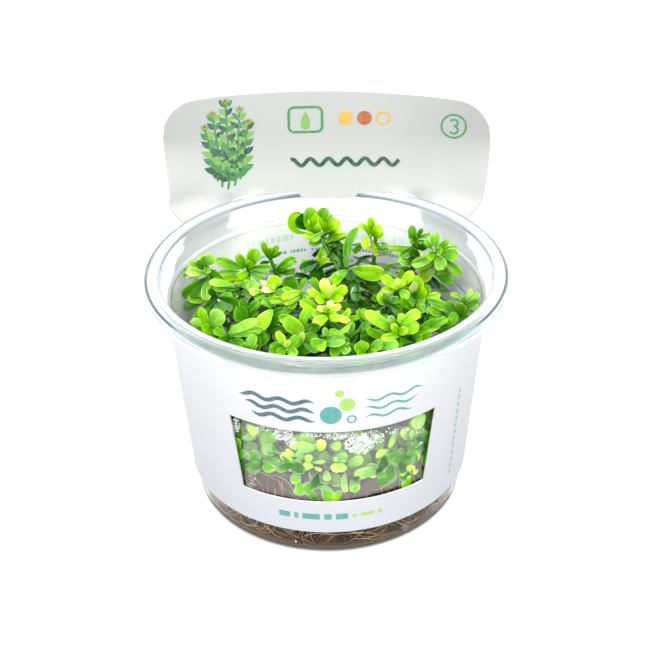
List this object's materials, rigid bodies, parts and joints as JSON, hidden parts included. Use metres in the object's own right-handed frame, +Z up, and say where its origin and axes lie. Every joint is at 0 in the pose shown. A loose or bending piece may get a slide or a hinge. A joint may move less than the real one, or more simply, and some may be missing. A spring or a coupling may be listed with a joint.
{
  "type": "tissue culture rotala indica in its cup",
  "caption": "Small leafy stem plants on brown nutrient gel in a round clear plastic cup, with a printed card sleeve that has a front window and a tall rounded back panel.",
  "frame": {"origin": "middle of the cup's flat base", "axes": "+Z up; the sleeve's window faces -Y and its back panel stands at +Y; +X is to the right seen from the window's side"},
  "size_m": [0.101, 0.101, 0.104],
  "materials": {
    "clear_plastic": "clear glossy polypropylene, slightly milky on the rim",
    "printed_card": "smooth white coated card with green and orange print",
    "nutrient_gel": "moist translucent brown gel full of pale roots",
    "leaf": "glossy fleshy bright green leaf"
  },
  "bodies": {
    "root": {"cup": "clear_plastic", "sleeve": "printed_card", "gel": "nutrient_gel", "shoot_01": "leaf", "shoot_02": "leaf", "shoot_03": "leaf", "shoot_04": "leaf", "shoot_05": "leaf", "shoot_06": "leaf", "shoot_07": "leaf", "shoot_08": "leaf", "shoot_09": "leaf", "shoot_10": "leaf", "shoot_11": "leaf", "shoot_12": "leaf", "shoot_13": "leaf", "shoot_14": "leaf", "shoot_15": "leaf", "shoot_16": "leaf", "shoot_17": "leaf", "shoot_18": "leaf", "shoot_19": "leaf", "shoot_20": "leaf", "shoot_21": "leaf", "shoot_22": "leaf", "shoot_23": "leaf", "shoot_24": "leaf", "shoot_25": "leaf", "shoot_26": "leaf", "shoot_27": "leaf", "shoot_28": "leaf", "shoot_29": "leaf", "shoot_30": "leaf", "shoot_31": "leaf", "shoot_32": "leaf", "shoot_33": "leaf", "shoot_34": "leaf", "shoot_35": "leaf", "shoot_36": "leaf", "shoot_37": "leaf", "shoot_38": "leaf", "shoot_39": "leaf", "shoot_40": "leaf", "shoot_41": "leaf", "shoot_42": "leaf", "shoot_43": "leaf", "shoot_44": "leaf", "shoot_45": "leaf", "shoot_46": "leaf"}
  },
  "joints": []
}
